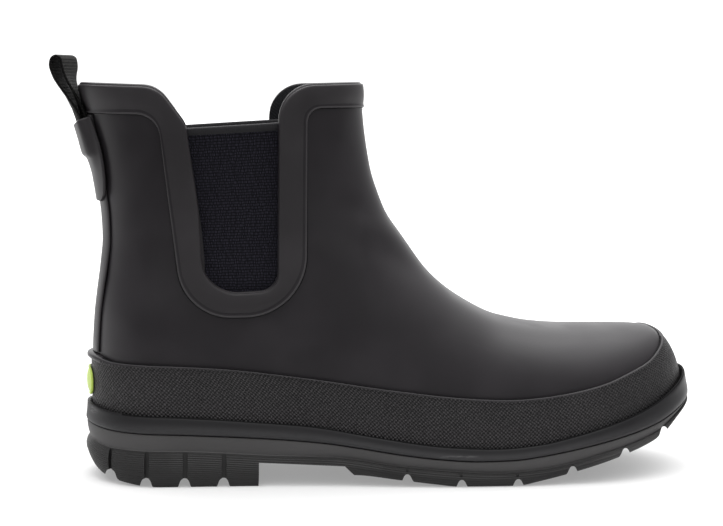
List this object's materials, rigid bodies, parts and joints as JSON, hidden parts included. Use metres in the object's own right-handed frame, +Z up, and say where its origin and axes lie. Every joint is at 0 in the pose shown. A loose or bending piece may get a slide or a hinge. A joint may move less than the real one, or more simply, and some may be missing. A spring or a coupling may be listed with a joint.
{
  "type": "chelsea rain boot",
  "caption": "Ankle-high slip-on rubber rain boot for the right foot: hollow upper with elastic side gores, pull loop, textured foxing band and lugged sole",
  "frame": {"origin": "on the floor under the middle of the boot's bounding box", "axes": "+X from heel to toe, +Y from the outer side of the foot to the inner side, +Z up"},
  "size_m": [0.3178, 0.103, 0.2019],
  "materials": {
    "rubber": "matte black rubber with a soft sheen",
    "foxing": "matte black rubber with a fine woven texture",
    "sole": "dull dark grey rubber",
    "elastic": "black woven elastic",
    "webbing": "black ribbed webbing",
    "badge": "plain lime-green rubber",
    "footbed": "dark textile over foam"
  },
  "bodies": {
    "root": {"upper": "rubber", "collar_trim": "rubber", "gore_outer": "elastic", "gore_inner": "elastic", "back_stay": "rubber", "foxing": "foxing", "welt": "sole", "outsole": "sole", "insole": "footbed", "pull_patch": "rubber", "pull_strap": "webbing", "heel_badge": "badge"}
  },
  "joints": []
}
